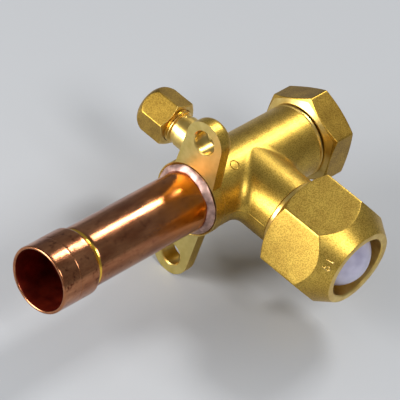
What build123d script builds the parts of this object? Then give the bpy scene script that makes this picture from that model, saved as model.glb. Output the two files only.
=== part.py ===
"""Three-way refrigerant service valve, modelled in millimetres.

Frame: origin at the centre of the flange's mounting face.  -X runs along the copper stub, +X along the
stem housing, -Y along the flare connection, +Y along the service port and +Z to the upper bolt hole.
"""
from build123d import *
from math import sqrt
import os

# ---- driving dimensions ---------------------------------------------------------------------------
running_gap = 0.07             # radial clearance of parts that turn or slide in one another
seat_gap = 0.10                # clearance between a sealing face and its seat
joint_gap = 0.04               # clearance filled by solder or a light press

# copper stub
tube_r = 19.05 / 2
tube_wall = 1.0
stub_length = 62.85            # mounting face to mouth
stub_insert = 7.0              # length soldered into the body
socket_length = 14.3
socket_clearance = 0.10        # room for the line tube that is brazed in
stop_groove_depth = 0.45       # rolled groove that stops the line tube
stop_groove_length = 2.6
stop_groove_at = 4.8           # centre of the groove beyond the socket
socket_step = 1.6              # length over which the tube is opened into the socket

# braze collar
braze_r = 11.9
braze_height = 1.9
braze_depth = 1.5              # depth of the countersink it fills
braze_waist = 1.45             # thickness of the fillet at most of its height

# flange
flange_thickness = 5.75
bolt_spacing = 45.2
bolt_hole_r = 3.75
bolt_hole_chamfer = 0.35
lobe_r = 6.9
flange_root_half_width = 7.8   # half width where the arms meet the barrel
flange_root_height = 8.6
flange_back_round = 2.8

# stem housing
barrel_r = 11.75
flange_hub_r = 12.05           # forged hub behind the braze collar
forged_blend = 4.0             # fillet between the crossing barrels
service_blend = 1.2
shoulder_r = 11.9
shoulder_length = 1.5
barrel_end = 49.05
spigot_r = 10.25                # root of the cap thread
spigot_length = 10.15
cap_thread_chamfer = 0.8
shoulder_chamfer = 0.5
stem_bore_r = 8.0
chamber_r = 8.7
chamber_margin = 0.2           # chamber beyond the flare passage
seat_margin = 1.7              # seat ahead of the flare passage
seat_r = 6.4

# flare connection
flare_axis_x = 23.1
flare_boss_r = 11.5
flare_boss_length = 22.0
flare_groove_r = 10.9
flare_groove_length = 1.1
flare_collar_r = 12.0
flare_collar_length = 1.6
flare_thread_r = 12.55         # root of the flare thread
flare_edge = 0.5               # broken edges of collar and thread
flare_nose_edge = 0.3
flare_passage_r = 7.2
flare_nose_tip_r = 8.6

# flare nut
nut_across_flats = 32.0
nut_turn = 14.8                # clocking of the first corner from +Z towards +X
nut_standoff = 0.5             # back face to the collar
nut_back_chamfer = 2.1         # length of the cone turned on the back corners
nut_back_land = 15.9           # radius of the flat back face
nut_hex_length = 15.7
nut_length = 24.7
nut_end_r = 12.6
nut_hole_r = 10.3
nut_hole_length = 6.5
nut_bore_chamfer = 0.6
nut_hole_chamfer = 0.4

# protective bonnet under the flare nut
bonnet_skirt = 1.5
bonnet_wall = 1.2
bonnet_edge_gap = 0.3          # skirt's edge inside the base of the nose
bonnet_dome_r = 9.8
bonnet_dome_rise = 7.8

# stem
stem_travel = 9.0
stem_nose_length = 1.5
stem_head_length = 8.6         # threaded head
stem_neck_r = 6.2
stem_tip_r = 5.4
stem_guide_length = 7.6
stem_cone_land = 3.0           # full-diameter length behind the cone
stem_chamfer = 0.7
o_ring_side_gap = 0.15
o_ring_shoulder = 0.6          # lip beside the first O-ring
key_across_flats = 8.0
key_depth = 9.0
o_ring_wire_r = 1.0
o_ring_squeeze = 0.05
retainer_thickness = 1.1
retainer_inner_r = 6.7
retainer_groove_depth = 0.8
retainer_setback = 1.2         # groove to the end of the spigot
retainer_gap_width = 3.2

# stem cap
stem_cap_across_flats = 27.0
stem_cap_turn = -1.6
stem_cap_standoff = 1.25       # mouth to the housing's shoulder
stem_cap_floor = 2.2
stem_cap_lead = 1.5            # conical faces at the mouth
stem_cap_crown = 3.6
stem_cap_face_r = 10.4
stem_cap_bore_chamfer = 0.7
cap_washer_thickness = 1.0
cap_washer_width = 2.6

# service port
service_axis_x = 21.7
service_boss_r = 5.35
service_neck_length = 11.4     # groove and thread beyond the boss
service_thread_r = 4.85        # root of the cap thread
service_thread_chamfer = 0.7
service_groove_r = 4.85
service_groove_length = 0.6
service_groove_run = 0.3       # slope from the groove up to the thread
service_end = 33.0
service_cap_overlap = 8.0      # mouth of the cap to the end of the port
service_cap_floor = 3.2
service_bore_r = 2.6
core_bore_r = 3.95

# service cap
service_cap_across_flats = 14.0
service_cap_turn = -11.4
service_cap_lead = 0.7
service_cap_crown = 4.2
service_cap_face_r = 3.0
service_seal_thickness = 0.8
service_seal_lip = 0.6         # seal inside the edge of the core bore
service_cap_bore_chamfer = 0.4

# valve core
core_recess = 1.1              # top of the core below the end of the port
core_head_length = 3.4
core_barrel_length = 9.6
core_barrel_r = 2.35
core_spring_bore_r = 1.75
core_guide_length = 1.4
core_pin_r = 0.7
core_pin_proud = 0.6
core_pin_collar_r = 1.45
core_pin_collar_length = 0.8
core_pin_foot_r = 2.0
core_pin_foot_length = 1.0
core_seal_thickness = 0.9
core_head_cone = 0.8           # conical shoulder under the core's head
core_seal_width = 0.9          # core bore to the seal's upper edge
core_seal_length = 2.4
core_seal_gap = 0.05
core_pin_collar_depth = 0.5    # collar below the top of the core
core_pin_chamfer = 0.2
spring_turns = 5
spring_wire_r = 0.18

# ---- derived sizes --------------------------------------------------------------------------------
socket_r = tube_r + socket_clearance
chamber_start = flare_axis_x - flare_passage_r - seat_margin
chamber_end = flare_axis_x + flare_passage_r + chamber_margin
service_boss_end = service_end - service_neck_length
service_cap_mouth = service_end - service_cap_overlap
core_top = service_end - core_recess
shoulder_start = barrel_end - shoulder_length
spigot_end = barrel_end + spigot_length
retainer_back = spigot_end - retainer_setback
retainer_front = retainer_back - retainer_thickness
stem_back = retainer_front - stem_travel - seat_gap
nut_corner_r = nut_across_flats / sqrt(3)
collar_start = flare_boss_length + flare_groove_length
collar_end = collar_start + flare_collar_length
nut_back = collar_end + nut_standoff
nut_end = nut_back + nut_length
nut_bore_r = flare_thread_r + running_gap
nut_seat_small = nut_end - nut_hole_length               # where the 45 degree seat meets the hole
nut_seat_large = nut_seat_small - (nut_bore_r - nut_hole_r)
skirt_run = (bonnet_skirt + 2 * seat_gap) * sqrt(2)      # seat to flare nose, measured along the axis
flare_nose_base_r = flare_thread_r - flare_nose_edge


def nose_at(radius):
    """Distance of the 45 degree flare nose from the stem axis at a given radius."""
    return nut_seat_small - skirt_run - (radius - nut_hole_r)


def seat_at(radius):
    """Distance of the bonnet's outer 45 degree face from the stem axis at a given radius."""
    return nut_seat_small - seat_gap * sqrt(2) - (radius - nut_hole_r)


def dome_point(radius, base_r, rise):
    """Height at a radius of a spherical dome with the given base radius and rise."""
    sphere_r = (base_r ** 2 + rise ** 2) / (2 * rise)
    return sqrt(sphere_r ** 2 - radius ** 2) - (sphere_r - rise)


along_x = Plane(origin=(0, 0, 0), x_dir=(1, 0, 0), z_dir=(0, -1, 0))                 # sketch x = X, y = Z
flare_plane = Plane(origin=(flare_axis_x, 0, 0), x_dir=(0, -1, 0), z_dir=(1, 0, 0))  # x = -Y, y = -Z
service_plane = Plane(origin=(service_axis_x, 0, 0), x_dir=(0, 1, 0), z_dir=(1, 0, 0))
flare_axis = Axis((flare_axis_x, 0, 0), (0, 1, 0))
service_axis = Axis((service_axis_x, 0, 0), (0, 1, 0))
os.makedirs("parts", exist_ok=True)

# ---- valve body -----------------------------------------------------------------------------------
with BuildPart() as valve_body:
    # flange arms, tapering outwards from the round lobes to the barrel
    with BuildSketch(Plane.YZ):
        with GridLocations(0, bolt_spacing, 1, 2):
            Circle(lobe_r)
        with BuildLine():
            Polyline((-flange_root_half_width, -flange_root_height), (-lobe_r, -bolt_spacing / 2),
                     (lobe_r, -bolt_spacing / 2), (flange_root_half_width, -flange_root_height),
                     (flange_root_half_width, flange_root_height), (lobe_r, bolt_spacing / 2),
                     (-lobe_r, bolt_spacing / 2), (-flange_root_half_width, flange_root_height), close=True)
        make_face()
        Circle(flange_hub_r)
    extrude(amount=flange_thickness)
    back_edges = valve_body.faces().sort_by(Axis.X)[-1].edges()
    fillet(back_edges, flange_back_round)

    # forged barrels crossing at right angles, with the blends the forging dies leave between them
    with BuildSketch(Plane.YZ):
        Circle(barrel_r)
    extrude(amount=shoulder_start)
    with BuildSketch(Plane(origin=(flare_axis_x, 0, 0), x_dir=(1, 0, 0), z_dir=(0, -1, 0))):
        Circle(flare_boss_r)
    extrude(amount=flare_boss_length)
    curves = valve_body.edges().filter_by(lambda e: e.geom_type not in (GeomType.CIRCLE, GeomType.LINE))
    fillet(curves.filter_by(lambda e: e.center().X > flange_thickness), forged_blend)
    with BuildSketch(Plane(origin=(service_axis_x, 0, 0), x_dir=(1, 0, 0), z_dir=(0, 1, 0))):
        Circle(service_boss_r)
    extrude(amount=service_boss_end)
    curves = valve_body.edges().filter_by(lambda e: e.geom_type not in (GeomType.CIRCLE, GeomType.LINE))
    fillet(curves.filter_by(lambda e: e.center().X > flange_thickness and e.center().Y > service_boss_r),
           service_blend)

    # machined shoulder of the stem housing and its cap thread
    with BuildSketch(along_x):
        with BuildLine():
            Polyline((shoulder_start, 0), (shoulder_start, shoulder_r - shoulder_chamfer),
                     (shoulder_start + shoulder_chamfer, shoulder_r), (barrel_end - shoulder_chamfer, shoulder_r),
                     (barrel_end, shoulder_r - shoulder_chamfer), (barrel_end, spigot_r),
                     (spigot_end - cap_thread_chamfer, spigot_r),
                     (spigot_end, spigot_r - cap_thread_chamfer), (spigot_end, 0), close=True)
        make_face()
    revolve(axis=Axis.X)

    # flare connection: relief groove, collar, thread and 45 degree nose
    with BuildSketch(flare_plane):
        with BuildLine():
            Polyline((flare_boss_length - 1, 0), (flare_boss_length - 1, flare_groove_r),
                     (collar_start, flare_groove_r), (collar_start + flare_edge, flare_collar_r),
                     (collar_end, flare_collar_r), (collar_end + flare_edge, flare_thread_r),
                     (nose_at(flare_nose_base_r) - flare_edge, flare_thread_r),
                     (nose_at(flare_nose_base_r), flare_nose_base_r),
                     (nose_at(flare_nose_tip_r), flare_nose_tip_r),
                     (nose_at(flare_nose_tip_r), 0), close=True)
        make_face()
    revolve(axis=flare_axis)

    # service port: relief groove and cap thread
    with BuildSketch(service_plane):
        with BuildLine():
            Polyline((service_boss_end - 1, 0), (service_boss_end - 1, service_groove_r),
                     (service_boss_end + service_groove_length, service_groove_r),
                     (service_boss_end + service_groove_length + service_groove_run, service_thread_r),
                     (service_end - service_thread_chamfer, service_thread_r),
                     (service_end, service_thread_r - service_thread_chamfer),
                     (service_end, 0), close=True)
        make_face()
    revolve(axis=service_axis)

    # soldered tube seat, stem seat, chamber, stem thread and retainer groove
    with BuildSketch(along_x):
        with BuildLine():
            Polyline((0, 0), (0, braze_r), (braze_depth, tube_r + joint_gap),
                     (stub_insert + joint_gap, tube_r + joint_gap), (stub_insert + joint_gap, seat_r),
                     (chamber_start - (chamber_r - seat_r), seat_r), (chamber_start, chamber_r),
                     (chamber_end, chamber_r), (chamber_end + chamber_r - stem_bore_r, stem_bore_r),
                     (retainer_front, stem_bore_r),
                     (retainer_front, stem_bore_r + retainer_groove_depth + joint_gap),
                     (retainer_back + joint_gap, stem_bore_r + retainer_groove_depth + joint_gap),
                     (retainer_back + joint_gap, stem_bore_r), (spigot_end, stem_bore_r),
                     (spigot_end, 0), close=True)
        make_face()
    revolve(axis=Axis.X, mode=Mode.SUBTRACT)

    # flare passage
    with BuildSketch(flare_plane):
        with BuildLine():
            Polyline((0, 0), (0, flare_passage_r), (nose_at(flare_nose_tip_r), flare_passage_r),
                     (nose_at(flare_nose_tip_r), 0), close=True)
        make_face()
    revolve(axis=flare_axis, mode=Mode.SUBTRACT)

    # service passage and core bore with its conical seat
    core_seat_y = core_top - core_head_length
    with BuildSketch(service_plane):
        with BuildLine():
            Polyline((0, 0), (0, service_bore_r), (core_seat_y - (core_bore_r - service_bore_r), service_bore_r),
                     (core_seat_y, core_bore_r), (service_end, core_bore_r), (service_end, 0), close=True)
        make_face()
    revolve(axis=service_axis, mode=Mode.SUBTRACT)

    # bolt holes with broken edges
    with BuildSketch(Plane.YZ):
        with GridLocations(0, bolt_spacing, 1, 2):
            Circle(bolt_hole_r)
    extrude(amount=flange_thickness, mode=Mode.SUBTRACT)
    hole_rims = (valve_body.edges().filter_by(GeomType.CIRCLE)
                 .filter_by(lambda e: abs(e.radius - bolt_hole_r) < 1e-6 and abs(e.center().X) < 1e-6))
    chamfer(hole_rims, bolt_hole_chamfer)
valve_body.part.label = "valve_body"
export_step(valve_body.part, "parts/valve_body.step")

# ---- copper stub ----------------------------------------------------------------------------------
socket_outer_r = socket_r + tube_wall
socket_end = -stub_length + socket_length
groove_centre = socket_end + stop_groove_at
with BuildPart() as copper_stub:
    with BuildSketch(along_x):
        with BuildLine() as stub_wall_line:
            outer = [(-stub_length, socket_outer_r), (socket_end, socket_outer_r),
                     (socket_end + socket_step, tube_r), (groove_centre - stop_groove_length / 2, tube_r),
                     (groove_centre, tube_r - stop_groove_depth),
                     (groove_centre + stop_groove_length / 2, tube_r), (stub_insert, tube_r)]
            inner = [(x, r - tube_wall) for x, r in reversed(outer)]
            Polyline(*outer, *inner, close=True)
        make_face()
    revolve(axis=Axis.X)
copper_stub.part.label = "copper_stub"
export_step(copper_stub.part, "parts/copper_stub.step")

# ---- braze collar ---------------------------------------------------------------------------------
with BuildPart() as braze_fillet:
    with BuildSketch(along_x):
        with BuildLine():
            Polyline((-braze_height, tube_r + joint_gap), (braze_depth - joint_gap, tube_r + joint_gap),
                     (0, braze_r - joint_gap))
            ThreePointArc((0, braze_r - joint_gap), (-braze_height * 0.72, tube_r + braze_waist),
                          (-braze_height, tube_r + joint_gap))
        make_face()
    revolve(axis=Axis.X)
braze_fillet.part.label = "braze_fillet"
export_step(braze_fillet.part, "parts/braze_fillet.step")

# ---- stem -----------------------------------------------------------------------------------------
# Closed, its cone stands on the seat; screwed out, its head stops at the retaining ring.
stem_r = stem_bore_r - running_gap
cone_base = chamber_start + seat_gap * sqrt(2) + (stem_r - chamber_r)
groove_depth = 2 * o_ring_wire_r + o_ring_squeeze
head_start = stem_back - stem_head_length
guide_start = head_start - stem_guide_length
groove_half = o_ring_wire_r + o_ring_side_gap
ring_pitch = stem_guide_length / 2
ring_centres = [guide_start + ring_pitch * (i + 0.5) for i in range(2)]
ring_r = stem_r - o_ring_wire_r
cone_tip = cone_base - (stem_r - stem_tip_r)
stem_outline = [(cone_tip - stem_nose_length, 0), (cone_tip - stem_nose_length, stem_tip_r)]
stem_outline += [(cone_tip, stem_tip_r), (cone_base, stem_r), (cone_base + stem_cone_land, stem_r)]
stem_outline += [(cone_base + stem_cone_land + (stem_r - stem_neck_r), stem_neck_r)]
stem_outline += [(guide_start - o_ring_shoulder, stem_neck_r), (guide_start - o_ring_shoulder, stem_r)]
for centre in ring_centres:
    stem_outline += [(centre - groove_half, stem_r), (centre - groove_half, stem_r - groove_depth)]
    stem_outline += [(centre + groove_half, stem_r - groove_depth), (centre + groove_half, stem_r)]
stem_outline += [(stem_back - stem_chamfer, stem_r), (stem_back, stem_r - stem_chamfer), (stem_back, 0)]
with BuildPart() as valve_stem:
    with BuildSketch(along_x):
        with BuildLine():
            Polyline(*stem_outline, close=True)
        make_face()
    revolve(axis=Axis.X)
    with BuildSketch(Plane.YZ.offset(stem_back)):
        RegularPolygon(key_across_flats / 2, 6, major_radius=False)
    extrude(amount=-key_depth, mode=Mode.SUBTRACT)
valve_stem.part.label = "valve_stem"
export_step(valve_stem.part, "parts/valve_stem.step")

for index, centre in enumerate(ring_centres, start=1):
    with BuildPart() as stem_o_ring:
        with BuildSketch(along_x):
            with Locations((centre, ring_r)):
                Circle(o_ring_wire_r)
        revolve(axis=Axis.X)
    stem_o_ring.part.label = f"stem_o_ring_{index}"
    export_step(stem_o_ring.part, f"parts/stem_o_ring_{index}.step")

# ---- stem retaining ring: an open spring ring in its groove ---------------------------------------
with BuildPart() as stem_retaining_ring:
    with BuildSketch(Plane.YZ.offset(retainer_front + joint_gap)):
        Circle(stem_bore_r + retainer_groove_depth)
        Circle(retainer_inner_r, mode=Mode.SUBTRACT)
        with Locations((0, retainer_inner_r)):
            Rectangle(retainer_gap_width, retainer_inner_r, mode=Mode.SUBTRACT)
    extrude(amount=retainer_thickness - joint_gap)
stem_retaining_ring.part.label = "stem_retaining_ring"
export_step(stem_retaining_ring.part, "parts/stem_retaining_ring.step")

# ---- stem cap -------------------------------------------------------------------------------------
cap_corner_r = stem_cap_across_flats / sqrt(3)
cap_bore_r = spigot_r + running_gap
cap_bore_end = spigot_end + cap_washer_thickness + 2 * seat_gap
stem_cap_mouth = barrel_end + stem_cap_standoff
stem_cap_end = cap_bore_end + stem_cap_floor
with BuildPart() as stem_cap:
    with BuildSketch(Plane.YZ.offset(stem_cap_mouth)):
        RegularPolygon(stem_cap_across_flats / 2, 6, major_radius=False, rotation=90 - stem_cap_turn)
    extrude(amount=stem_cap_end - stem_cap_mouth)
    with BuildSketch(along_x):
        with BuildLine():
            Polyline((stem_cap_mouth, 0), (stem_cap_mouth, cap_corner_r - 2 * stem_cap_lead),
                     (stem_cap_mouth + stem_cap_lead, cap_corner_r),
                     (stem_cap_end - stem_cap_crown, cap_corner_r))
            ThreePointArc((stem_cap_end - stem_cap_crown, cap_corner_r),
                          (stem_cap_end - stem_cap_crown * 0.36, cap_corner_r - stem_cap_crown * 0.42),
                          (stem_cap_end, stem_cap_face_r))
            Polyline((stem_cap_end, stem_cap_face_r), (stem_cap_end, 0), (stem_cap_mouth, 0))
        make_face()
    revolve(axis=Axis.X, mode=Mode.INTERSECT)
    with BuildSketch(along_x):
        with BuildLine():
            Polyline((stem_cap_mouth, 0), (stem_cap_mouth, cap_bore_r + stem_cap_bore_chamfer),
                     (stem_cap_mouth + stem_cap_bore_chamfer, cap_bore_r), (cap_bore_end, cap_bore_r),
                     (cap_bore_end, 0), close=True)
        make_face()
    revolve(axis=Axis.X, mode=Mode.SUBTRACT)
stem_cap.part.label = "stem_cap"
export_step(stem_cap.part, "parts/stem_cap.step")

with BuildPart() as stem_cap_washer:
    with BuildSketch(Plane.YZ.offset(spigot_end + seat_gap)):
        Circle(cap_bore_r - joint_gap)
        Circle(cap_bore_r - joint_gap - cap_washer_width, mode=Mode.SUBTRACT)
    extrude(amount=cap_washer_thickness)
stem_cap_washer.part.label = "stem_cap_washer"
export_step(stem_cap_washer.part, "parts/stem_cap_washer.step")

# ---- flare nut ------------------------------------------------------------------------------------
nut_back_plane = Plane(origin=(flare_axis_x, -nut_back, 0), x_dir=(1, 0, 0), z_dir=(0, -1, 0))
with BuildPart() as flare_nut:
    with BuildSketch(nut_back_plane):
        RegularPolygon(nut_across_flats / 2, 6, major_radius=False, rotation=90 - nut_turn)
    extrude(amount=nut_length)
    with BuildSketch(flare_plane):
        with BuildLine():
            Polyline((nut_back, 0), (nut_back, nut_back_land), (nut_back + nut_back_chamfer, nut_corner_r),
                     (nut_back + nut_hex_length, nut_corner_r),
                     (nut_end, nut_end_r), (nut_end, 0), close=True)
        make_face()
    revolve(axis=flare_axis, mode=Mode.INTERSECT)
    with BuildSketch(flare_plane):
        with BuildLine():
            Polyline((nut_back, 0), (nut_back, nut_bore_r + nut_bore_chamfer),
                     (nut_back + nut_bore_chamfer, nut_bore_r), (nut_seat_large, nut_bore_r),
                     (nut_seat_small, nut_hole_r), (nut_end - nut_hole_chamfer, nut_hole_r),
                     (nut_end, nut_hole_r + nut_hole_chamfer), (nut_end, 0), close=True)
        make_face()
    revolve(axis=flare_axis, mode=Mode.SUBTRACT)
flare_nut.part.label = "flare_nut"
export_step(flare_nut.part, "parts/flare_nut.step")

# ---- bonnet: a conical skirt held between nut and nose, with a shallow dome ------------------------
bonnet_base_r = flare_nose_base_r - bonnet_edge_gap
skirt_offset = bonnet_skirt * sqrt(2)
dome_base = seat_at(bonnet_dome_r)
bonnet_inner_r = bonnet_dome_r - bonnet_wall
dome_top = dome_base + bonnet_dome_rise
inner_base = seat_at(bonnet_inner_r) - skirt_offset
inner_rise = dome_top - bonnet_wall - inner_base
with BuildPart() as flare_bonnet:
    with BuildSketch(flare_plane):
        with BuildLine():
            Polyline((seat_at(bonnet_base_r), bonnet_base_r), (dome_base, bonnet_dome_r))
            ThreePointArc((dome_base, bonnet_dome_r),
                          (dome_base + dome_point(bonnet_dome_r / 2, bonnet_dome_r, bonnet_dome_rise),
                           bonnet_dome_r / 2), (dome_top, 0))
            Line((dome_top, 0), (dome_top - bonnet_wall, 0))
            ThreePointArc((dome_top - bonnet_wall, 0),
                          (inner_base + dome_point(bonnet_inner_r / 2, bonnet_inner_r, inner_rise),
                           bonnet_inner_r / 2), (inner_base, bonnet_inner_r))
            Polyline((inner_base, bonnet_inner_r), (seat_at(bonnet_base_r) - skirt_offset, bonnet_base_r),
                     (seat_at(bonnet_base_r), bonnet_base_r))
        make_face()
    revolve(axis=flare_axis)
flare_bonnet.part.label = "flare_bonnet"
export_step(flare_bonnet.part, "parts/flare_bonnet.step")

# ---- service cap ----------------------------------------------------------------------------------
service_cap_plane = Plane(origin=(service_axis_x, service_cap_mouth, 0), x_dir=(1, 0, 0), z_dir=(0, 1, 0))
service_corner_r = service_cap_across_flats / sqrt(3)
service_cap_bore_r = service_thread_r + running_gap
service_bore_end = service_end + service_seal_thickness + 2 * seat_gap
service_cap_end = service_bore_end + service_cap_floor
with BuildPart() as service_cap:
    with BuildSketch(service_cap_plane):
        RegularPolygon(service_cap_across_flats / 2, 6, major_radius=False,
                       rotation=90 + service_cap_turn)
    extrude(amount=service_cap_end - service_cap_mouth)
    with BuildSketch(service_plane):
        with BuildLine():
            Polyline((service_cap_mouth, 0), (service_cap_mouth, service_corner_r - 1.5 * service_cap_lead),
                     (service_cap_mouth + service_cap_lead, service_corner_r),
                     (service_cap_end - service_cap_crown, service_corner_r))
            ThreePointArc((service_cap_end - service_cap_crown, service_corner_r),
                          (service_cap_end - service_cap_crown * 0.30, service_corner_r - service_cap_crown * 0.36),
                          (service_cap_end, service_cap_face_r))
            Polyline((service_cap_end, service_cap_face_r), (service_cap_end, 0), (service_cap_mouth, 0))
        make_face()
    revolve(axis=service_axis, mode=Mode.INTERSECT)
    with BuildSketch(service_plane):
        with BuildLine():
            Polyline((service_cap_mouth, 0), (service_cap_mouth, service_cap_bore_r + service_cap_bore_chamfer),
                     (service_cap_mouth + service_cap_bore_chamfer, service_cap_bore_r),
                     (service_bore_end, service_cap_bore_r),
                     (service_bore_end, 0), close=True)
        make_face()
    revolve(axis=service_axis, mode=Mode.SUBTRACT)
service_cap.part.label = "service_cap"
export_step(service_cap.part, "parts/service_cap.step")

with BuildPart() as service_cap_seal:
    with BuildSketch(Plane(origin=(service_axis_x, service_end + seat_gap, 0), x_dir=(1, 0, 0), z_dir=(0, 1, 0))):
        Circle(service_cap_bore_r - joint_gap)
        Circle(core_bore_r - service_seal_lip, mode=Mode.SUBTRACT)
    extrude(amount=service_seal_thickness)
service_cap_seal.part.label = "service_cap_seal"
export_step(service_cap_seal.part, "parts/service_cap_seal.step")

# ---- valve core -----------------------------------------------------------------------------------
core_shoulder = core_top - core_head_length
core_bottom = core_top - core_barrel_length
spring_floor = core_bottom + core_guide_length
core_seal_r = core_bore_r - core_seal_width
with BuildPart() as core_housing:
    with BuildSketch(service_plane):
        with BuildLine():
            Polyline((core_bottom, core_pin_r + running_gap), (core_bottom, core_barrel_r),
                     (core_shoulder, core_barrel_r), (core_shoulder + core_head_cone, core_bore_r - joint_gap),
                     (core_top, core_bore_r - joint_gap), (core_top, core_spring_bore_r),
                     (spring_floor, core_spring_bore_r), (spring_floor, core_pin_r + running_gap), close=True)
        make_face()
    revolve(axis=service_axis)
core_housing.part.label = "core_housing"
export_step(core_housing.part, "parts/core_housing.step")

with BuildPart() as core_barrel_seal:
    seal_top = core_shoulder - core_seal_gap
    with BuildSketch(service_plane):
        with BuildLine():
            Polyline((seal_top - core_seal_length, core_barrel_r + joint_gap),
                     (seal_top - core_seal_length, service_bore_r - joint_gap),
                     (core_seat_y - (core_bore_r - service_bore_r), service_bore_r - joint_gap),
                     (seal_top, core_seal_r), (seal_top, core_barrel_r + joint_gap), close=True)
        make_face()
    revolve(axis=service_axis)
core_barrel_seal.part.label = "core_barrel_seal"
export_step(core_barrel_seal.part, "parts/core_barrel_seal.step")

pin_top = core_top + core_pin_proud
collar_top = core_top - core_pin_collar_depth
foot_top = core_bottom - seat_gap - core_seal_thickness
with BuildPart() as core_pin:
    with BuildSketch(service_plane):
        with BuildLine():
            Polyline((foot_top - core_pin_foot_length, 0), (foot_top - core_pin_foot_length, core_pin_foot_r),
                     (foot_top, core_pin_foot_r), (foot_top, core_pin_r),
                     (collar_top - core_pin_collar_length, core_pin_r),
                     (collar_top - core_pin_collar_length, core_pin_collar_r),
                     (collar_top, core_pin_collar_r), (collar_top, core_pin_r),
                     (pin_top - core_pin_chamfer, core_pin_r), (pin_top, core_pin_r - core_pin_chamfer),
                     (pin_top, 0), close=True)
        make_face()
    revolve(axis=service_axis)
core_pin.part.label = "core_pin"
export_step(core_pin.part, "parts/core_pin.step")

with BuildPart() as core_seat_seal:
    with BuildSketch(service_plane):
        with BuildLine():
            Polyline((foot_top, core_pin_r + joint_gap), (foot_top, core_pin_foot_r),
                     (foot_top + core_seal_thickness, core_pin_foot_r),
                     (foot_top + core_seal_thickness, core_pin_r + joint_gap), close=True)
        make_face()
    revolve(axis=service_axis)
core_seat_seal.part.label = "core_seat_seal"
export_step(core_seat_seal.part, "parts/core_seat_seal.step")

spring_height = collar_top - core_pin_collar_length - spring_floor - 2 * spring_wire_r - 2 * joint_gap
with BuildPart() as core_spring:
    with BuildLine():
        coil = Helix(pitch=spring_height / spring_turns, height=spring_height,
                     radius=core_spring_bore_r - spring_wire_r - joint_gap,
                     center=(service_axis_x, spring_floor + spring_wire_r + joint_gap, 0), direction=(0, 1, 0))
    with BuildSketch(Plane(origin=coil @ 0, z_dir=coil % 0)):
        Circle(spring_wire_r)
    sweep(is_frenet=True)
core_spring.part.label = "core_spring"
export_step(core_spring.part, "parts/core_spring.step")
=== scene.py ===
"""Three-way refrigerant service valve: its looks, in metres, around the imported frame."""
import bpy
import numpy as np
from mathutils import Matrix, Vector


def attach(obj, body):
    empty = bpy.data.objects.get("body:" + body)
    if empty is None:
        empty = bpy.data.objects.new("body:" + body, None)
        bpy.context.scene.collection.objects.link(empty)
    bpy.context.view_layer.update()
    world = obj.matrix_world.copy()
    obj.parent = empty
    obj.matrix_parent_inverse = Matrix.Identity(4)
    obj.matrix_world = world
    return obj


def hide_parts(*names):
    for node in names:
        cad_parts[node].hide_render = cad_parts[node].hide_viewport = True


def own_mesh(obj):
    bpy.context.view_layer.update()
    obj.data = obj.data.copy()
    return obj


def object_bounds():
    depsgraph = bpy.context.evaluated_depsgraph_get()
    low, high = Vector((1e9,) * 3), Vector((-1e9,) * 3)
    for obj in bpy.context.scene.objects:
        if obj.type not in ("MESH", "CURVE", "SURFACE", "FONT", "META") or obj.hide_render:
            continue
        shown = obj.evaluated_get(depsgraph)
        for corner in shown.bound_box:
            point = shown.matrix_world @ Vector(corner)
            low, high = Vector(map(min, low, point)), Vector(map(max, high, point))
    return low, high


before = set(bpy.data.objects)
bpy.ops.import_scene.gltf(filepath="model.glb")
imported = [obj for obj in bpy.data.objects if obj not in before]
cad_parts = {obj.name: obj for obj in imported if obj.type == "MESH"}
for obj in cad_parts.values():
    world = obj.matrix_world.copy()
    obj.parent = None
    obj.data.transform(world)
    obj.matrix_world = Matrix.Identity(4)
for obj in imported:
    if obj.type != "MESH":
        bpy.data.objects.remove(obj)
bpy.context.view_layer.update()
MM = 0.001


# ---- Valve body -----------------------------------------------------------------------------------
# A hot brass forging: flange, stem housing and flare boss in one piece, shot-blasted all over, then
# turned where it seals, screws or sits: flange face, shoulder, collar, service neck and bores.
def paint(hex_code, alpha=1.0):
    """sRGB hex value to a linear colour: the sRGB curve undone on each channel."""
    s = np.array([int(hex_code[i:i + 2], 16) for i in (1, 3, 5)]) / 255
    linear = np.where(s <= 0.04045, s / 12.92, ((s + 0.055) / 1.055) ** 2.4)
    return (*linear, alpha)


def node(tree, kind, inputs=None, stops=None, **settings):
    """Adds a node with its settings; inputs that are sockets are linked and the others set, and stops
    are the positions and colours of a colour ramp. Returns the node's first output that is in use."""
    made = tree.nodes.new(kind)
    for key, value in settings.items():
        setattr(made, key, value)
    for element, (position, colour) in zip(made.color_ramp.elements if stops else (), stops or ()):
        element.position, element.color = position, colour
    for key, value in (inputs or {}).items():
        if isinstance(value, bpy.types.NodeSocket):
            tree.links.new(value, made.inputs[key])
        else:
            made.inputs[key].default_value = value
    return next(socket for socket in made.outputs if socket.enabled)


def blank_material(name, metallic, roughness):
    """A new material; returns it with its tree, its Principled shader and its object coordinates."""
    material = bpy.data.materials.new(name)
    material.use_nodes = True
    tree = material.node_tree
    shader = tree.nodes["Principled BSDF"]
    shader.inputs["Metallic"].default_value = metallic
    shader.inputs["Roughness"].default_value = roughness
    coordinates = tree.nodes.new("ShaderNodeTexCoord")
    return material, tree, shader, coordinates.outputs["Object"]


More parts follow.
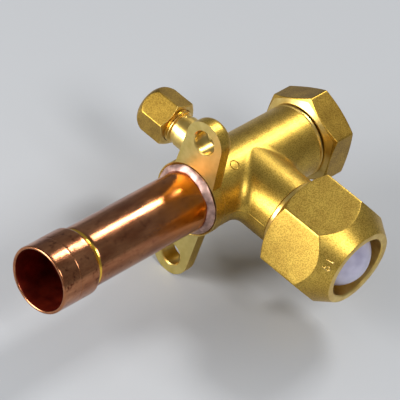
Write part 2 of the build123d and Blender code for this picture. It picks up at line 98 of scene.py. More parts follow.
def blasted_brass(name, light, dark, grain_mm, relief_mm):
    """Forging brass, shot-blasted: even fine pits that spread each highlight, and a faint tarnish in
    patches of a few millimetres that turns the yellow a little brown."""
    material, tree, shader, place = blank_material(name, 1.0, 0.40)
    cloud = node(tree, "ShaderNodeTexNoise", {"Vector": place, "Scale": 1000 / 5.0, "Detail": 3.0})
    tarnish = node(tree, "ShaderNodeValToRGB", {"Fac": cloud}, ((0.25, paint(dark)), (0.75, paint(light))))
    pits = node(tree, "ShaderNodeTexNoise", {"Vector": place, "Scale": 1000 / grain_mm, "Detail": 1.0})
    speck = node(tree, "ShaderNodeValToRGB", {"Fac": pits},
                 ((0.34, paint("#8A7034")), (0.60, paint("#FFFFFF"))))
    mixed = node(tree, "ShaderNodeMix", {"Factor": 0.50, "A": tarnish, "B": speck},
                 data_type="RGBA", blend_type="MULTIPLY")
    tree.links.new(mixed, shader.inputs["Base Color"])
    bump = node(tree, "ShaderNodeBump", {"Height": pits, "Strength": 0.6, "Distance": relief_mm * MM})
    tree.links.new(bump, shader.inputs["Normal"])
    return material


def turned_brass(name, dark, light, roughness):
    """Free-cutting brass off the lathe: bright, with a soft sheen and a slight wash of tarnish."""
    material, tree, shader, place = blank_material(name, 1.0, roughness)
    cloud = node(tree, "ShaderNodeTexNoise", {"Vector": place, "Scale": 1000 / 3.0, "Detail": 2.0})
    wash = node(tree, "ShaderNodeValToRGB", {"Fac": cloud}, ((0.30, paint(dark)), (0.75, paint(light))))
    tree.links.new(wash, shader.inputs["Base Color"])
    ripple = node(tree, "ShaderNodeTexNoise", {"Vector": place, "Scale": 1000 / 0.5, "Detail": 1.0})
    bump = node(tree, "ShaderNodeBump", {"Height": ripple, "Strength": 0.25, "Distance": 0.01 * MM})
    tree.links.new(bump, shader.inputs["Normal"])
    return material


turned = turned_brass("turned_brass", "#D2AC55", "#EBCD7C", 0.32)
faced = turned_brass("faced_brass", "#B9A65E", "#CDBB78", 0.42)
forged = blasted_brass("forged_brass", "#DCB955", "#C4A046", 0.36, 0.050)

flare_x, service_x, bolt_z = 23.1, 21.7, 22.6         # axes of the ports and the bolts
barrel_r, shoulder_start, flare_boss_end, service_neck = 11.75, 47.5, 22.0, 13.8
service_neck_r, core_bore_r, stem_bore_r, flare_bore_r, bolt_bore_r = 5.6, 4.0, 9.6, 7.3, 3.8
mounting_rim = 0.4                                    # depth of the mounting face's machined edge
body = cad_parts["valve_body"]
body.data.materials.clear()
for material in (forged, turned, faced):
    body.data.materials.append(material)

# every face that a tool has cut: found by where it lies, in millimetres
centres = np.empty(3 * len(body.data.polygons))
body.data.polygons.foreach_get("center", centres)
x, y, z = centres.reshape(-1, 3).T / MM
from_stem, from_flare, from_service = np.hypot(y, z), np.hypot(x - flare_x, z), np.hypot(x - service_x, z)
cut = (x < mounting_rim) | (x > shoulder_start) | (y < -flare_boss_end)
cut |= (y > service_neck) & (from_service < service_neck_r)
cut |= (from_stem < stem_bore_r) | ((y < 0) & (from_flare < flare_bore_r))
cut |= (y > 0) & (from_service < core_bore_r)
cut |= np.hypot(y, np.abs(z) - bolt_z) < bolt_bore_r
finish = np.where(cut, 1, 0)                      # turned
finish[x < 1e-3] = 2                               # the faced mounting face
body.data.polygons.foreach_set("material_index", finish.astype(np.int32))


def mesh_piece(name, points, quads, triangles, materials, index):
    """A mesh from arrays of points and faces, turned outwards by the sign of its volume."""
    faces = [tuple(q) for q in quads.tolist()] + [tuple(t) for t in triangles.tolist()]
    tri = [(f[0], f[i], f[i + 1]) for f in faces for i in range(1, len(f) - 1)]
    corners = points[np.array(tri)]
    volume = np.einsum("ij,ij->i", corners[:, 0], np.cross(corners[:, 1], corners[:, 2])).sum()
    if volume < 0:
        faces = [f[::-1] for f in faces]
    mesh = bpy.data.meshes.new(name)
    mesh.from_pydata(points.tolist(), [], faces)
    for material in materials:
        mesh.materials.append(material)
    if index is not None:
        mesh.polygons.foreach_set("material_index", np.asarray(index, dtype=np.int32))
    mesh.polygons.foreach_set("use_smooth", np.full(len(faces), True))
    mesh.update()
    made = bpy.data.objects.new(name, mesh)
    bpy.context.collection.objects.link(made)
    return made


AXES = {"x": ((1, 0, 0), (0, 1, 0), (0, 0, 1)), "-y": ((0, -1, 0), (1, 0, 0), (0, 0, 1)),
        "y": ((0, 1, 0), (1, 0, 0), (0, 0, 1))}


def along(axis, origin, distance, radius, angle):
    """Points at a distance along an axis and a radius from it; the angle runs from +Z to the axis's side."""
    run, side, rise = (np.array(v, float) for v in AXES[axis])
    flat = radius[..., None] * (np.sin(angle)[..., None] * side + np.cos(angle)[..., None] * rise)
    return (np.array(origin) + distance[..., None] * run + flat) * MM


def wrapped(name, grid, closed, materials, index=None):
    """A surface from a grid of rows round an axis: rows of zero width become poles, and a closed
    profile joins its last row to its first."""
    rows, count = grid.shape[:2]
    spread = np.linalg.norm(grid - grid.mean(axis=1, keepdims=True), axis=2).max(axis=1)
    pole = spread < 1e-9
    start = np.concatenate([[0], np.cumsum(np.where(pole, 1, count))])
    points = np.concatenate([grid[r, :1] if pole[r] else grid[r] for r in range(rows)])
    step = np.arange(count)
    ids = np.array([np.full(count, start[r]) if pole[r] else start[r] + step for r in range(rows)])
    lower = np.arange(rows if closed else rows - 1)
    upper = (lower + 1) % rows
    a, b = ids[lower], ids[upper]
    c, d = np.roll(b, -1, axis=1), np.roll(a, -1, axis=1)
    whole = ~(pole[lower] | pole[upper])
    quads = np.stack([a, b, c, d], axis=2)[whole].reshape(-1, 4)
    first, last = pole[lower], pole[upper] & ~pole[lower]
    triangles = np.concatenate([np.stack([a, b, c], axis=2)[first].reshape(-1, 3),
                                np.stack([a, b, d], axis=2)[last].reshape(-1, 3)])
    if index is not None:
        each = np.repeat(np.asarray(index)[lower][:, None], count, axis=1)
        index = np.concatenate([each[whole].ravel(), each[first].ravel(), each[last].ravel()])
    return mesh_piece(name, points, quads, triangles, materials, index)


def refined(profile, step):
    """A profile of (distance, radius) corners cut into pieces no longer than step."""
    out = []
    for p, q in zip(profile[:-1], profile[1:]):
        cuts = max(1, int(np.ceil(np.hypot(q[0] - p[0], q[1] - p[1]) / step)))
        out += [(p[0] + (q[0] - p[0]) * t, p[1] + (q[1] - p[1]) * t) for t in np.arange(cuts) / cuts]
    return np.array(out + [profile[-1]])


def rounded(start, corner, end):
    """Five points that round a corner: a parabola that leaves start and reaches end along its sides."""
    t = np.linspace(0, 1, 5).reshape(-1, *[1] * np.ndim(start))
    return (1 - t) ** 2 * start + 2 * t * (1 - t) * corner + t ** 2 * end


def eased(profile, size):
    """A profile whose corners are rounded over size, as a tumbled or blasted edge is."""
    pts = np.array(profile, float)
    out = [pts[:1]]
    for a, b, c in zip(pts[:-2], pts[1:-1], pts[2:]):
        back, ahead = np.linalg.norm(a - b), np.linalg.norm(c - b)
        out.append(rounded(b + (a - b) * min(size / back, 0.45), b, b + (c - b) * min(size / ahead, 0.45)))
    return np.concatenate(out + [pts[-1:]])


def sharp_by_angle(piece, degrees):
    """Marks edges sharper than the angle, so that flat faces stay flat under smooth shading."""
    piece.data.set_sharp_from_angle(angle=np.radians(degrees))


def thread(name, axis, origin, root_r, crest_r, start, end, pitch):
    """A helical ridge: a trapezium carried along a helix, sinking into the root at both ends."""
    turns = (end - start) / pitch
    t = np.linspace(0, 1, int(72 * turns))[:, None]
    fade = np.clip(np.minimum(t, 1 - t) * turns / 0.6, 0, 1)
    half = np.array([-0.44, -0.08, 0.08, 0.44, 0.44, -0.44]) * pitch
    lift = np.array([0.0, 1.0, 1.0, 0.0, 0.0, 0.0])
    sunk = np.array([0.03, 0.0, 0.0, 0.03, 0.30, 0.30])
    distance = start + t * (end - start) + half * (0.25 + 0.75 * fade)
    radius = root_r + (crest_r - root_r) * fade ** 0.7 * lift - sunk
    grid = along(axis, origin, distance, radius, np.repeat(2 * np.pi * turns * t, 6, axis=1))
    tips = [np.repeat(row.mean(axis=0)[None, None], 6, axis=1) for row in (grid[0], grid[-1])]
    made = wrapped(name, np.concatenate([tips[0], grid, tips[1]]), False, [turned])
    sharp_by_angle(made, 30)
    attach(made, "body")


thread("service_thread", "y", (service_x, 0, 0), 4.85, 5.52, 22.9, 32.3, 1.27)
thread("cap_thread", "x", (0, 0, 0), 10.25, 11.05, 50.2, 58.4, 1.5)
thread("flare_thread", "-y", (flare_x, 0, 0), 12.55, 13.45, 25.9, 38.0, 1.814)


# the collar behind the nut, turned to a bright ring
collar_start, collar_end, collar_root_r, collar_near_r, collar_far_r = 22.35, 24.75, 10.8, 11.95, 12.05
collar_ring = eased([(collar_start, collar_root_r), (collar_start, collar_near_r),
                     (collar_end, collar_far_r), (collar_end, collar_root_r)], 0.25)
turn_steps = np.linspace(0, 2 * np.pi, 160, endpoint=False)
angle, distance = np.meshgrid(turn_steps, collar_ring[:, 0])
radius = collar_ring[:, 1:] + 0 * angle
collar = wrapped("flare_collar", along("-y", (flare_x, 0, 0), distance, radius, angle), True, [turned])
sharp_by_angle(collar, 40)
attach(collar, "body")


def bead(name, path, outward, half_width, height, closed, material, body_name):
    """A raised line on a surface: half an ellipse, its edges just under the surface, carried along a
    path of points in metres whose outward directions are given."""
    if closed:
        ahead = np.roll(path, -1, axis=0) - np.roll(path, 1, axis=0)
    else:
        ahead = np.gradient(path, axis=0)
    side = np.cross(ahead, outward)
    side /= np.linalg.norm(side, axis=1, keepdims=True)
    around = np.linspace(0, 2 * np.pi, 12, endpoint=False)[None, :, None]
    swell = np.ones(len(path)) if closed else np.clip(8 * np.sin(np.linspace(0, np.pi, len(path))), 0.05, 1)
    swell = swell[:, None, None]
    grid = path[:, None] + swell * (side[:, None] * half_width * np.cos(around)
                                    + outward[:, None] * height * np.sin(around)) * MM
    if not closed:
        tips = [np.repeat(p[None, None], 12, axis=1) for p in (path[0], path[-1])]
        grid = np.concatenate([tips[0], grid, tips[1]])
    made = wrapped(name, grid, closed, [material])
    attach(made, body_name)


# the forging's raised ring, between the flange and the crossing of the barrels
turn = np.linspace(0, 2 * np.pi, 48, endpoint=False)
ring_x, ring_angle, ring_r = 13.1, np.radians(-21.5), 1.5
angle = ring_angle + ring_r * np.sin(turn) / barrel_r
ring = along("x", (0, 0, 0), ring_x + ring_r * np.cos(turn), barrel_r + 0 * turn, angle)
bead("forging_mark", ring, np.stack([0 * turn, np.sin(angle), np.cos(angle)], axis=1), 0.22, 0.22, True,
     forged, "body")

# the flash line that the dies leave where they part: along the housing, round the blend, up the boss
bend = np.linspace(0, np.pi / 2, 16)
blend_x, blend_y, blend_r = 7.6, -15.75, 4.0
blend = np.stack([blend_x + blend_r * np.sin(bend), blend_y + blend_r * np.cos(bend)], axis=1)
seam = refined(np.concatenate([[(6.0, -barrel_r)], blend, [(11.6, -21.9)]]), 0.4)
ahead = np.gradient(seam, axis=0)
outward = np.stack([ahead[:, 1], -ahead[:, 0], 0 * seam[:, 0]], axis=1)
outward /= np.linalg.norm(outward, axis=1, keepdims=True)
bead("flash_line", np.column_stack([seam, 0 * seam[:, 0]]) * MM, outward, 0.40, 0.10, False,
     forged, "body")

# ---- Copper stub ----------------------------------------------------------------------------------
# Soft-drawn copper tube, swaged to a socket at the mouth and rolled with a stop groove behind it.
# Handling has scratched it lengthwise; brazing has left it yellow-orange by the flange, dull red inside.
copper, tree, shader, place = blank_material("drawn_copper", 1.0, 0.25)
stretch = node(tree, "ShaderNodeMapping", {"Vector": place, "Scale": (0.30, 1.0, 1.0)})
cloud = node(tree, "ShaderNodeTexNoise",
             {"Vector": stretch, "Scale": 1000 / 3.5, "Detail": 4.0, "Roughness": 0.6})
base = node(tree, "ShaderNodeValToRGB", {"Fac": cloud}, ((0.36, paint("#9A6040")), (0.70, paint("#C2865E"))))
length_wise = node(tree, "ShaderNodeSeparateXYZ", {"Vector": place})
near_braze = node(tree, "ShaderNodeMapRange",
                  {"Value": length_wise, "From Min": -24 * MM, "From Max": -3 * MM})
patches = node(tree, "ShaderNodeTexNoise", {"Vector": place, "Scale": 1000 / 7.0, "Detail": 3.0})
patches = node(tree, "ShaderNodeMapRange",
               {"Value": patches, "From Min": 0.3, "From Max": 0.6, "To Min": 0.35})
heat = node(tree, "ShaderNodeMath", {0: near_braze, 1: patches}, operation="MULTIPLY")
tinted = node(tree, "ShaderNodeMix", {"Factor": heat, "A": base, "B": paint("#DE8424")}, data_type="RGBA")
blots = node(tree, "ShaderNodeTexNoise",
             {"Vector": place, "Scale": 1000 / 2.2, "Detail": 4.0, "Roughness": 0.65})
stain = node(tree, "ShaderNodeValToRGB", {"Fac": blots}, ((0.56, paint("#FFFFFF")), (0.70, paint("#7A3A22"))))
soiled = node(tree, "ShaderNodeMapRange", {"Value": length_wise, "From Min": -50 * MM, "From Max": -44 * MM,
                                           "To Min": 0.95, "To Max": 0.45})
worn = node(tree, "ShaderNodeMix", {"Factor": soiled, "A": tinted, "B": stain}, data_type="RGBA",
            blend_type="MULTIPLY")
# painted highlight: a bright gold band over the step and the stop groove, for the light their slopes catch
groove_highlight_band = node(tree, "ShaderNodeMath", {0: length_wise, 1: -47.2 * MM, 2: 0.9 * MM}, operation="COMPARE")
with_groove_highlight = node(tree, "ShaderNodeMix", {"Factor": groove_highlight_band, "A": worn, "B": paint("#F2C24A")},
              data_type="RGBA")
tree.links.new(with_groove_highlight, shader.inputs["Base Color"])
drawn = node(tree, "ShaderNodeMapping", {"Vector": place, "Scale": (0.05, 1.0, 1.0)})
scratch = node(tree, "ShaderNodeTexNoise", {"Vector": drawn, "Scale": 1000 / 0.35, "Detail": 2.0})
dents = node(tree, "ShaderNodeTexNoise", {"Vector": place, "Scale": 1000 / 6.0, "Detail": 1.0})
height = node(tree, "ShaderNodeMath", {0: dents, 1: 3.0, 2: scratch}, operation="MULTIPLY_ADD")
bump = node(tree, "ShaderNodeBump", {"Height": height, "Strength": 0.35, "Distance": 0.03 * MM})
tree.links.new(bump, shader.inputs["Normal"])
rubbed = node(tree, "ShaderNodeTexNoise", {"Vector": stretch, "Scale": 1000 / 1.6, "Detail": 3.0})
rough = node(tree, "ShaderNodeMapRange", {"Value": rubbed, "From Min": 0.3, "From Max": 0.7, "To Min": 0.15,
                                          "To Max": 0.27})
tree.links.new(rough, shader.inputs["Roughness"])

oxide, tree, shader, place = blank_material("oxidised_copper", 0.75, 0.42)
cloud = node(tree, "ShaderNodeTexNoise", {"Vector": place, "Scale": 1000 / 4.0, "Detail": 3.0})
shade = node(tree, "ShaderNodeValToRGB", {"Fac": cloud}, ((0.35, paint("#5E1208")), (0.70, paint("#8E2A14"))))
tree.links.new(shade, shader.inputs["Base Color"])

tube_r, wall, socket_r, lip_r = 9.525, 1.0, 10.625, 0.5
mouth, swage_line, socket_end, taper_end, stub_end = -62.85, -55.85, -48.55, -47.5, 7.0
stop_groove = [(-47.2, 0.25), (-46.7, 0.35), (-45.9, 0.0)]
outer = [(mouth + lip_r, socket_r), (swage_line - 0.15, socket_r), (swage_line, socket_r - 0.10),
         (swage_line + 0.15, socket_r), (socket_end, socket_r), (taper_end, tube_r),
         *[(x, tube_r - sink) for x, sink in stop_groove], (stub_end, tube_r)]
inner = [(stub_end, tube_r - wall), *[(x, tube_r - sink - wall) for x, sink in stop_groove[::-1]],
         (taper_end, tube_r - wall), (socket_end, socket_r - wall), (mouth + lip_r, socket_r - wall)]
lip = [(mouth + lip_r * (1 - np.sin(a)), socket_r - wall / 2 - (wall / 2) * np.cos(a))
       for a in np.linspace(0, np.pi, 9)[1:-1]]
skin = refined(eased(outer, 0.5), 0.8)
bore = refined(eased(inner, 0.5), 0.8)
profile = np.concatenate([skin, bore, np.array(lip)])
angle, distance = np.meshgrid(turn_steps, profile[:, 0])
radius = np.repeat(profile[:, 1:], len(turn_steps), axis=1)
# knocks have left the mouth slightly oval, less and less over the first centimetre
oval, oval_fade = 0.006, 9.0
from_mouth = np.exp(-(distance - mouth) / oval_fade) * (distance < 0)
radius = radius * (1 + oval * np.cos(2 * angle + 0.6) * from_mouth)
side = np.concatenate([np.zeros(len(skin)), np.ones(len(bore)), np.zeros(len(lip))]).astype(int)
stub = wrapped("copper_tube", along("x", (0, 0, 0), distance, radius, angle), True, [copper, oxide], side)
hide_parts("copper_stub")
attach(stub, "body")

# ---- Braze collar ---------------------------------------------------------------------------------
# Silver-copper brazing alloy, melted into the countersink round the tube: a lumpy pinkish ring whose
# edge wanders over the flange face.
braze, tree, shader, place = blank_material("brazing_alloy", 0.70, 0.46)
cloud = node(tree, "ShaderNodeTexNoise", {"Vector": place, "Scale": 1000 / 2.2, "Detail": 3.0})
flow = node(tree, "ShaderNodeValToRGB", {"Fac": cloud}, ((0.38, paint("#8C6E66")), (0.66, paint("#C8A396"))))
tree.links.new(flow, shader.inputs["Base Color"])
lumps = node(tree, "ShaderNodeTexNoise", {"Vector": place, "Scale": 1000 / 1.2, "Detail": 2.0})
bump = node(tree, "ShaderNodeBump", {"Height": lumps, "Strength": 0.6, "Distance": 0.12 * MM})
tree.links.new(bump, shader.inputs["Normal"])
wave = np.random.default_rng(7)
lobes = np.arange(1, 12)[:, None]
wander, swell = [(wave.normal(size=(11, 1)) * np.cos(lobes * turn_steps + wave.uniform(0, 6.28, (11, 1)))
                  / lobes ** 0.7).sum(axis=0) for _ in range(2)]
across = np.linspace(0, 1, 15)[:, None]
edge_r, climb = 11.40 + 0.24 * wander, 1.40 + 0.25 * swell
radius = tube_r + 0.01 + (edge_r - tube_r) * across
distance = -climb * (1 - across ** 1.25) ** 0.72 - 0.02
foot = np.ones((2, 1)) + 0 * turn_steps
distance = np.concatenate([distance, 1.4 * foot])
radius = np.concatenate([radius, tube_r + np.array([[0.2], [0.01]]) * foot])
angle = np.repeat(turn_steps[None, :], len(distance), axis=0)
collar = wrapped("braze_collar", along("x", (0, 0, 0), distance, radius, angle), True, [braze])
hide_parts("braze_fillet")
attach(collar, "body")

# ---- Flare nut ------------------------------------------------------------------------------------
# Forged from hexagon brass, shot-blasted; the long conical nose and the mouth are turned, so the cone
# cuts each flat in an arc. A plain number stands on the cone in raised strokes.
def hexagon_angles(per_side):
    """Angles round a hexagon with corners at multiples of 60 degrees, closer together at the corners."""
    u = np.arange(per_side) / per_side
    eased_u = u - 0.8 * np.sin(2 * np.pi * u) / (2 * np.pi)
    return (np.arange(6)[:, None] * np.pi / 3 + eased_u[None, :] * np.pi / 3).ravel()


def hexagon_radius(angle, across_flats, softness):
    """Distance to a hexagon with slightly rounded corners: its flats blended by a high power."""
    facing = np.cos(angle[..., None] - (np.arange(6) + 0.5) * np.pi / 3)
    return across_flats / 2 / (np.clip(facing, 0, 1) ** softness).sum(axis=-1) ** (1 / softness)


def turned_end(profile, reach, ease):
    """Rows of distance and radius up a turned end, from its first corner to where it meets a hexagon of
    the given reach at each angle, and the first half of the ridge there."""
    pts = refined(profile, 0.35)
    run = np.concatenate([[0], np.cumsum(np.hypot(*np.diff(pts, axis=0).T))])
    meet = np.interp(reach, pts[:, 1], run)
    fixed = pts[run < meet.min() - 2 * ease]
    start = run[len(fixed) - 1]
    along_run = start + (meet - ease - start) * np.linspace(0, 1, 9)[1:, None]
    distance = np.concatenate([fixed[:, :1] + 0 * reach, np.interp(along_run, run, pts[:, 0])])
    radius = np.concatenate([fixed[:, 1:] + 0 * reach, np.interp(along_run, run, pts[:, 1])])
    return distance, radius, np.interp(meet, run, pts[:, 0])


def hexagon_piece(name, axis, origin, across_flats, corner_degrees, near, far, inner, materials, cut_beyond,
                  ease=0.16):
    """A hexagon bar turned at both ends. Each column of the surface runs up the near end to where it meets
    the hexagon, along the flat, and down the far end, its ridges rounded over ease millimetres. The bore
    and the outside beyond the two distances of cut_beyond carry the second material."""
    base = hexagon_angles(28)
    reach = hexagon_radius(base, across_flats, 110)
    near_d, near_r, near_meet = turned_end(near, reach, ease)
    far_d, far_r, far_meet = turned_end(far, reach, ease)
    ridge = []
    for rows_d, rows_r, meet, step in ((near_d, near_r, near_meet, ease), (far_d, far_r, far_meet, -ease)):
        start, corner = np.stack([rows_d[-1], rows_r[-1]]), np.stack([meet, reach])
        ridge.append(rounded(start, corner, np.stack([meet + step, reach]))[1:])
    flat_near, flat_far = near_meet + ease, far_meet - ease
    flat_d = flat_near + (flat_far - flat_near) * np.array([0.05, 0.5, 0.95])[:, None]
    distance = np.concatenate([near_d, ridge[0][:, 0], flat_d, ridge[1][::-1, 0], far_d[::-1]])
    radius = np.concatenate([near_r, ridge[0][:, 1], 0 * flat_d + reach, ridge[1][::-1, 1], far_r[::-1]])
    bore = refined(inner, 0.6)
    middle = distance.mean(axis=1)
    index = np.concatenate([(middle < cut_beyond[0]) | (middle > cut_beyond[1]), np.ones(len(bore), bool)])
    distance = np.concatenate([distance, bore[:, :1] + 0 * reach])
    radius = np.concatenate([radius, bore[:, 1:] + 0 * reach])
    angle = base[None, :] + np.radians(corner_degrees) + 0 * distance
    made = wrapped(name, along(axis, origin, distance, radius, angle), bore[-1, 1] > 0.01, materials,
                   index.astype(int))
    sharp_by_angle(made, 35)
    return made


nut_brass = blasted_brass("blasted_nut_brass", "#E0BD58", "#C8A34A", 0.38, 0.055)
nut_back, nut_nose, nut_end, nut_corner, nut_end_r, nut_hole_r = 25.2, 40.9, 49.9, 18.475, 12.6, 10.3
cone_slope = (nut_end_r - nut_corner) / (nut_end - nut_nose)
nut_mouth_r, nut_land_r, nut_chamfer, nut_across_flats, nut_degrees = 14.3, 15.9, 2.1, 32.0, 14.8
nut_seat, nut_thread_end, nut_thread_r = 43.4, 40.1, 13.6
nut_near = eased([(nut_back, nut_mouth_r), (nut_back, nut_land_r), (nut_back + nut_chamfer, nut_corner)], 0.3)
nut_far = eased([(nut_end, nut_hole_r + 0.4), (nut_end, nut_end_r), (nut_nose, nut_corner)], 0.3)
nut_inner = [(nut_end - 0.4, nut_hole_r), (nut_seat, nut_hole_r), (nut_thread_end, nut_thread_r),
             (nut_back + 0.7, nut_thread_r)]
nut = hexagon_piece("flare_nut_skin", "-y", (flare_x, 0, 0), nut_across_flats, nut_degrees, nut_near, nut_far,
                    nut_inner, [nut_brass, turned], (0.0, nut_end - 0.25))
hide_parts("flare_nut")
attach(nut, "flare_nut")

# raised figures: strokes in a unit square, x along the line of writing and y up
bow = np.linspace(0.15, 2 * np.pi + 0.15, 22)
tail = np.linspace(0, 1, 8)
figures = {"one": refined([(0.25, 0.78), (0.5, 1.0), (0.5, 0.0)], 0.1),
           "nine": np.concatenate([np.stack([0.5 + 0.30 * np.cos(bow), 0.70 + 0.30 * np.sin(bow)], axis=1),
                                   np.stack([0.80 - 0.22 * tail, 0.70 - 0.70 * tail], axis=1)])}
figure_height, figure_step, figure_at = 2.6, 2.3, {"one": -0.5, "nine": 0.5}
line_d, line_angle = 47.1, np.radians(-64.8)          # where the number stands on the cone
for figure, stroke in figures.items():
    across_cone = (stroke[:, 0] - 0.5) * figure_height * 0.75 + figure_at[figure] * figure_step
    up_cone = (stroke[:, 1] - 0.5) * figure_height
    distance = line_d + up_cone / np.hypot(1, cone_slope)
    radius = nut_corner + cone_slope * (distance - nut_nose)
    angle = line_angle - across_cone / radius
    points = along("-y", (flare_x, 0, 0), distance, radius, angle)
    outward = np.stack([np.sin(angle), cone_slope + 0 * angle, np.cos(angle)], axis=1)
    outward /= np.linalg.norm(outward, axis=1, keepdims=True)
    bead("raised_" + figure, points, outward, 0.26, 0.20, False, turned, "flare_nut")

# ---- Bonnet ---------------------------------------------------------------------------------------
# Moulded white polyethylene dust bonnet, held between the nut and the flare nose; light soaks into it.
bonnet_plastic, tree, shader, place = blank_material("polyethylene", 0.0, 0.24)
cloud = node(tree, "ShaderNodeTexNoise", {"Vector": place, "Scale": 1000 / 6.0, "Detail": 2.0})
# painted shade: the white bonnet is coloured a dim grey-violet, for the shade it lies in deep in the nut's
# bore
painted_bonnet_shade = node(tree, "ShaderNodeValToRGB", {"Fac": cloud}, ((0.30, paint("#A5A1BA")), (0.70, paint("#CBC7DA"))))
tree.links.new(painted_bonnet_shade, shader.inputs["Base Color"])
shader.inputs["Subsurface Weight"].default_value = 0.35
shader.inputs["Subsurface Radius"].default_value = (1.0, 0.9, 1.1)
shader.inputs["Subsurface Scale"].default_value = 1.5 * MM
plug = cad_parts["flare_bonnet"]
plug.data.materials.clear()
plug.data.materials.append(bonnet_plastic)

# ---- Stem cap -------------------------------------------------------------------------------------
# A hexagon brass cap screwed over the stem; both ends are coned on the lathe, the crown is domed.
def arc_through(first, middle, last, count):
    """Points on the circle through three corners, from the first to the last."""
    (ax, ay), (bx, by), (cx, cy) = first, middle, last
    d = 2 * (ax * (by - cy) + bx * (cy - ay) + cx * (ay - by))
    a2, b2, c2 = ax * ax + ay * ay, bx * bx + by * by, cx * cx + cy * cy
    centre = np.array([a2 * (by - cy) + b2 * (cy - ay) + c2 * (ay - by),
                       a2 * (cx - bx) + b2 * (ax - cx) + c2 * (bx - ax)]) / d
    start, end = (np.arctan2(*(np.array(p) - centre)[::-1]) for p in (first, last))
    turn = (end - start + np.pi) % (2 * np.pi) - np.pi
    sweep = start + turn * np.linspace(0, 1, count)
    return centre + np.hypot(*(np.array(first) - centre)) * np.stack([np.cos(sweep), np.sin(sweep)], axis=1)


cap_brass = blasted_brass("blasted_cap_brass", "#CFA94A", "#A98638", 0.38, 0.045)
cap_mouth, cap_crown, cap_floor, cap_bore_r = 49.55, 62.6, 60.4, 11.1
cap_across_flats, cap_degrees = 27.0, 1.6
cap_edge = (59.9, 13.3)                               # where the dome ends and the steep edge begins
cap_near = eased([(cap_mouth, 11.4), (cap_mouth, 12.0), (51.8, 15.59)], 0.25)
cap_far = np.concatenate([[(cap_crown, 0.0)], arc_through((cap_crown, 5.0), (61.7, 10.0), cap_edge, 20),
                          eased([cap_edge, (59.4, 14.6), (59.0, 15.6)], 0.2)[1:]])
cap_inner = [(cap_floor, 0.0), (cap_floor, cap_bore_r), (50.2, cap_bore_r)]
no_far_cut = 99.0                                     # beyond the cap: nothing there is bright
cap = hexagon_piece("stem_cap_skin", "x", (0, 0, 0), cap_across_flats, cap_degrees, cap_near, cap_far,
                    cap_inner, [cap_brass, turned], (50.6, no_far_cut))
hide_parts("stem_cap")
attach(cap, "stem_cap")

# ---- Service cap ----------------------------------------------------------------------------------
# A small domed hexagon cap over the service port, turned bright at its mouth.
small_mouth, small_crown, small_floor, small_bore_r, small_corner = 25.0, 37.2, 34.0, 5.57, 8.09
small_across_flats, small_degrees = 14.0, -11.4
small_near = eased([(small_mouth, 5.8), (small_mouth, 7.0), (25.7, small_corner)], 0.2)
small_dome = arc_through((small_crown, 3.0), (35.94, 6.571), (33.0, small_corner), 24)
small_far = np.concatenate([[(small_crown, 0.0)], small_dome])
small_inner = [(small_floor, 0.0), (small_floor, small_bore_r), (25.3, small_bore_r)]
small_cap = hexagon_piece("service_cap_skin", "y", (service_x, 0, 0), small_across_flats, small_degrees,
                          small_near, small_far, small_inner, [cap_brass, turned], (25.45, no_far_cut))
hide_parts("service_cap")
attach(small_cap, "service_cap")

# ---- Stem, rings, washers and valve core ----------------------------------------------------------
# Turned brass stem and core, black nitrile rings, pressed fibre washers and spring steel: under the
# caps and inside the body, they show only when the valve is opened.
finishes = {}
for name, metallic, roughness, size_mm, dark, light, pieces in (
        ("nitrile_rubber", 0.0, 0.55, 0.6, "#161616", "#242424",
         ("stem_o_ring_1", "stem_o_ring_2", "service_cap_seal", "core_seat_seal")),
        ("fibre_washer", 0.0, 0.60, 0.8, "#C9C4B0", "#E4E0D0", ("stem_cap_washer", "core_barrel_seal")),
        ("spring_steel", 1.0, 0.30, 0.8, "#8E9093", "#B9BBBE", ("stem_retaining_ring", "core_spring"))):
    material, tree, shader, place = blank_material(name, metallic, roughness)
    cloud = node(tree, "ShaderNodeTexNoise", {"Vector": place, "Scale": 1000 / size_mm, "Detail": 2.0})
    shade = node(tree, "ShaderNodeValToRGB", {"Fac": cloud}, ((0.30, paint(dark)), (0.70, paint(light))))
    tree.links.new(shade, shader.inputs["Base Color"])
    finishes.update(dict.fromkeys(pieces, material))
finishes.update(dict.fromkeys(("valve_stem", "core_housing", "core_pin"), turned))
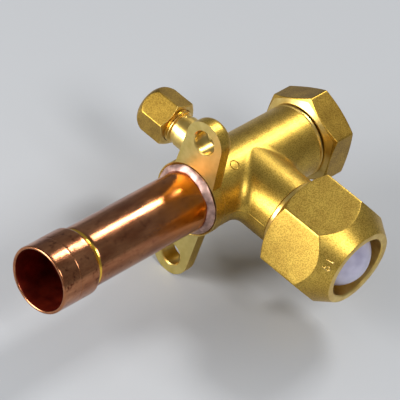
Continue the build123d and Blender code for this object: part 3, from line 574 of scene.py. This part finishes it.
for piece, material in finishes.items():
    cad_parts[piece].data.materials.clear()
    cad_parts[piece].data.materials.append(material)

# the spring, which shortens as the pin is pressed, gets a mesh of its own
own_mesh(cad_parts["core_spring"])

# ---- Floor, light and camera ----------------------------------------------------------------------
# A pale paper floor under a softly lit studio: a small softbox high beyond the stem cap, a broad low one
# behind the stub, and one high on the flare nut's side.
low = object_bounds()[0]
bpy.ops.mesh.primitive_plane_add(size=3, location=(0, 0, low[2]))
floor = bpy.context.object
floor.name = "floor"
paper, _, shader, _ = blank_material("floor_paper", 0.0, 0.9)
shader.inputs["Base Color"].default_value = paint("#B4B6B9")
floor.data.materials.append(paper)

world = bpy.data.worlds.new("studio")
bpy.context.scene.world = world
world.use_nodes = True
world.node_tree.nodes["Background"].inputs["Color"].default_value = paint("#E4E7EA")
world.node_tree.nodes["Background"].inputs["Strength"].default_value = 0.26


def softbox(name, place, aim, size, watts):
    """A square area lamp at place, pointed at aim."""
    lamp = bpy.data.lights.new(name, "AREA")
    lamp.size = size
    lamp.energy = watts
    holder = bpy.data.objects.new(name, lamp)
    bpy.context.collection.objects.link(holder)
    holder.location = place
    back = np.array(place, float) - np.array(aim, float)
    back /= np.linalg.norm(back)
    side = np.cross((0.0, 0.0, 1.0), back)
    side /= np.linalg.norm(side)
    holder.rotation_euler = Matrix(np.column_stack([side, np.cross(back, side), back]).tolist()).to_euler()


softbox("beyond_the_cap", (0.494, 0.087, 0.557), (0.0, 0.0, 0.0), 0.17, 2.7)
softbox("behind_the_stub", (-0.599, 0.305, 0.193), (0.0, 0.0, 0.0), 0.40, 7.5)
softbox("over_the_nut", (-0.126, -0.470, 0.503), (0.0, 0.0, 0.0), 0.24, 2.2)

camera_data = bpy.data.cameras.new("camera")
camera_data.sensor_width = 36.0
camera_data.lens = 286.64
camera_data.clip_start = 0.01
camera = bpy.data.objects.new("camera", camera_data)
bpy.context.collection.objects.link(camera)
right = np.array([0.67198, -0.70596, 0.22375])
up = np.array([0.37104, 0.58241, 0.72327])
back = np.array([-0.64092, -0.40301, 0.65331])
camera_place = np.array([-0.60592, -0.3855, 0.62091])
view = np.eye(4)
view[:3, 0], view[:3, 1], view[:3, 2], view[:3, 3] = right, up, back, camera_place
camera.matrix_world = Matrix(view.tolist())
bpy.context.scene.camera = camera
bpy.context.scene.view_settings.view_transform = "Standard"
